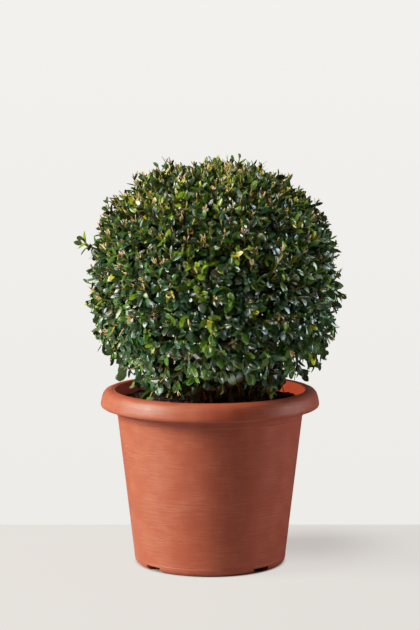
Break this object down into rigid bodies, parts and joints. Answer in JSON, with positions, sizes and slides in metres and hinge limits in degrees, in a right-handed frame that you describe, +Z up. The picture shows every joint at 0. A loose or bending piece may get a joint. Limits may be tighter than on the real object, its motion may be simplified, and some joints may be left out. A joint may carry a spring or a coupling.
{
  "type": "potted box topiary ball",
  "caption": "Small-leaved evergreen box shrub clipped to a dense ball, on a short stem, in a tapered round plastic pot with a rolled lip.",
  "frame": {"origin": "middle of the flat underside of the pot's foot ring, on the surface that the pot stands on", "axes": "+Z up along the pot's axis, -Y towards the front that the picture shows, +X to its right"},
  "size_m": [0.4184, 0.399, 0.6362],
  "materials": {
    "pot_plastic": "satin terracotta-coloured plastic with fine turned lines",
    "compost": "dark moist compost with bark chips",
    "bark": "rough greyish-tan bark",
    "leaves": "small waxy dark green leaves"
  },
  "bodies": {
    "root": {"pot": "pot_plastic", "compost": "compost", "main_stem": "bark", "bough_1": "bark", "bough_2": "bark", "bough_3": "bark", "bough_4": "bark", "bough_5": "bark", "foliage_ball": "leaves"}
  },
  "joints": []
}
